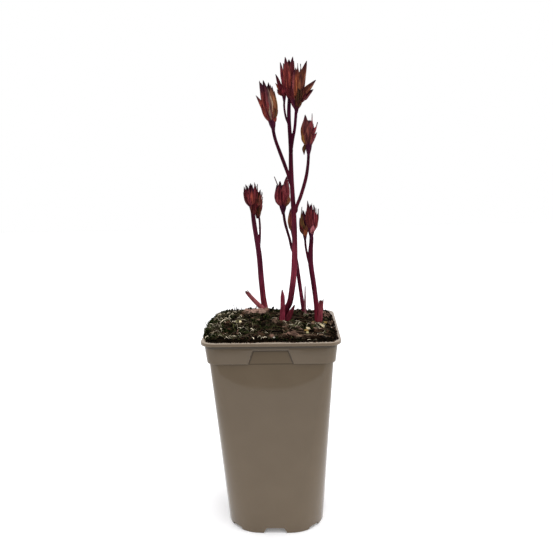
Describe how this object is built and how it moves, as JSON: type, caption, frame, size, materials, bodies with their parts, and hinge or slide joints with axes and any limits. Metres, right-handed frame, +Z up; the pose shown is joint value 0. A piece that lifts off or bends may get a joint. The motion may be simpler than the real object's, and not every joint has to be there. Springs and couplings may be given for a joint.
{
  "type": "potted louis van houtte peony",
  "caption": "Young peony with red shoots and tight, unopened leaf heads, rooted in heaped potting soil in a tall square nursery pot with a plain collar.",
  "frame": {"origin": "middle of the pot's foot, on the surface it stands on", "axes": "+Z up, -Y towards the viewer of the picture, +X to the viewer's right"},
  "size_m": [0.14, 0.14, 0.494],
  "materials": {
    "pot_plastic": "satin",
    "potting_soil": "matte",
    "stem": "satin",
    "young_leaf": "satin",
    "bud_scale": "satin"
  },
  "bodies": {
    "root": {"pot": "pot_plastic", "soil": "potting_soil", "stem_left": "stem", "stem_main": "stem", "stem_behind": "stem", "stem_right": "stem", "leaves_left": "young_leaf", "leaves_top": "young_leaf", "leaves_upper_left": "young_leaf", "leaves_upper_right": "young_leaf", "leaves_mid_left": "young_leaf", "leaves_mid_right": "young_leaf", "leaves_right": "young_leaf", "bud_scale_left": "bud_scale", "bud_scale_main": "bud_scale", "bud_sheath_main": "bud_scale", "bud_scale_behind": "bud_scale", "bud_scale_right": "bud_scale"}
  },
  "joints": []
}
